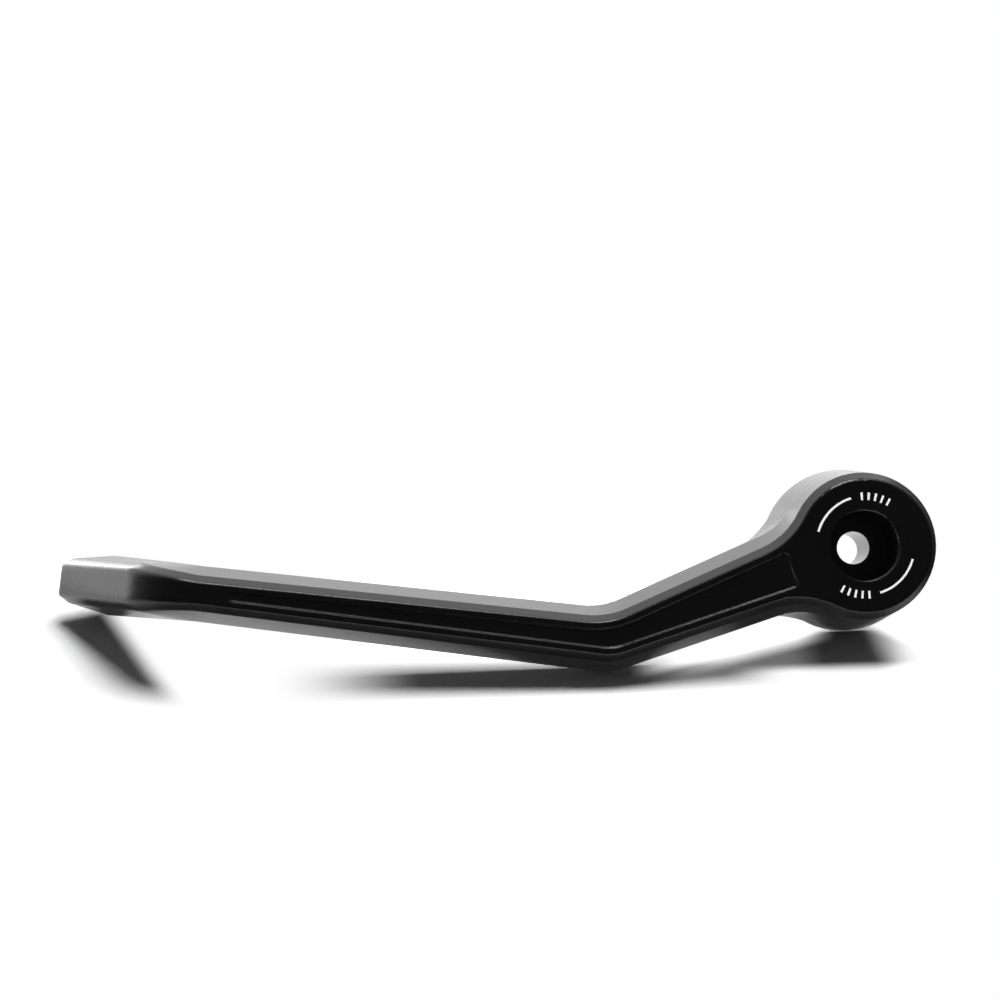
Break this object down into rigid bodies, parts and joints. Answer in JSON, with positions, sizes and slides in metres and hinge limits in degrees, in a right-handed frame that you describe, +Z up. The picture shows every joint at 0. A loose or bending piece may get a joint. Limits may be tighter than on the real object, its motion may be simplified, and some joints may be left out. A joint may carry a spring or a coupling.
{
  "type": "clutch lever guard",
  "caption": "Black moulded lever guard: a bar-end boss with a counterbored bolt hole, a cranked arm, a slim blade and a toe bent back around the lever tip.",
  "frame": {"origin": "on the bolt axis, at the boss's rear seat face", "axes": "+Y along the bolt axis into the bar end, +Z up, the arm and blade towards -X"},
  "size_m": [0.18, 0.0493, 0.0416],
  "materials": {
    "guard": "fine satin moulded texture"
  },
  "bodies": {
    "root": {"lever_guard": "guard"}
  },
  "joints": []
}
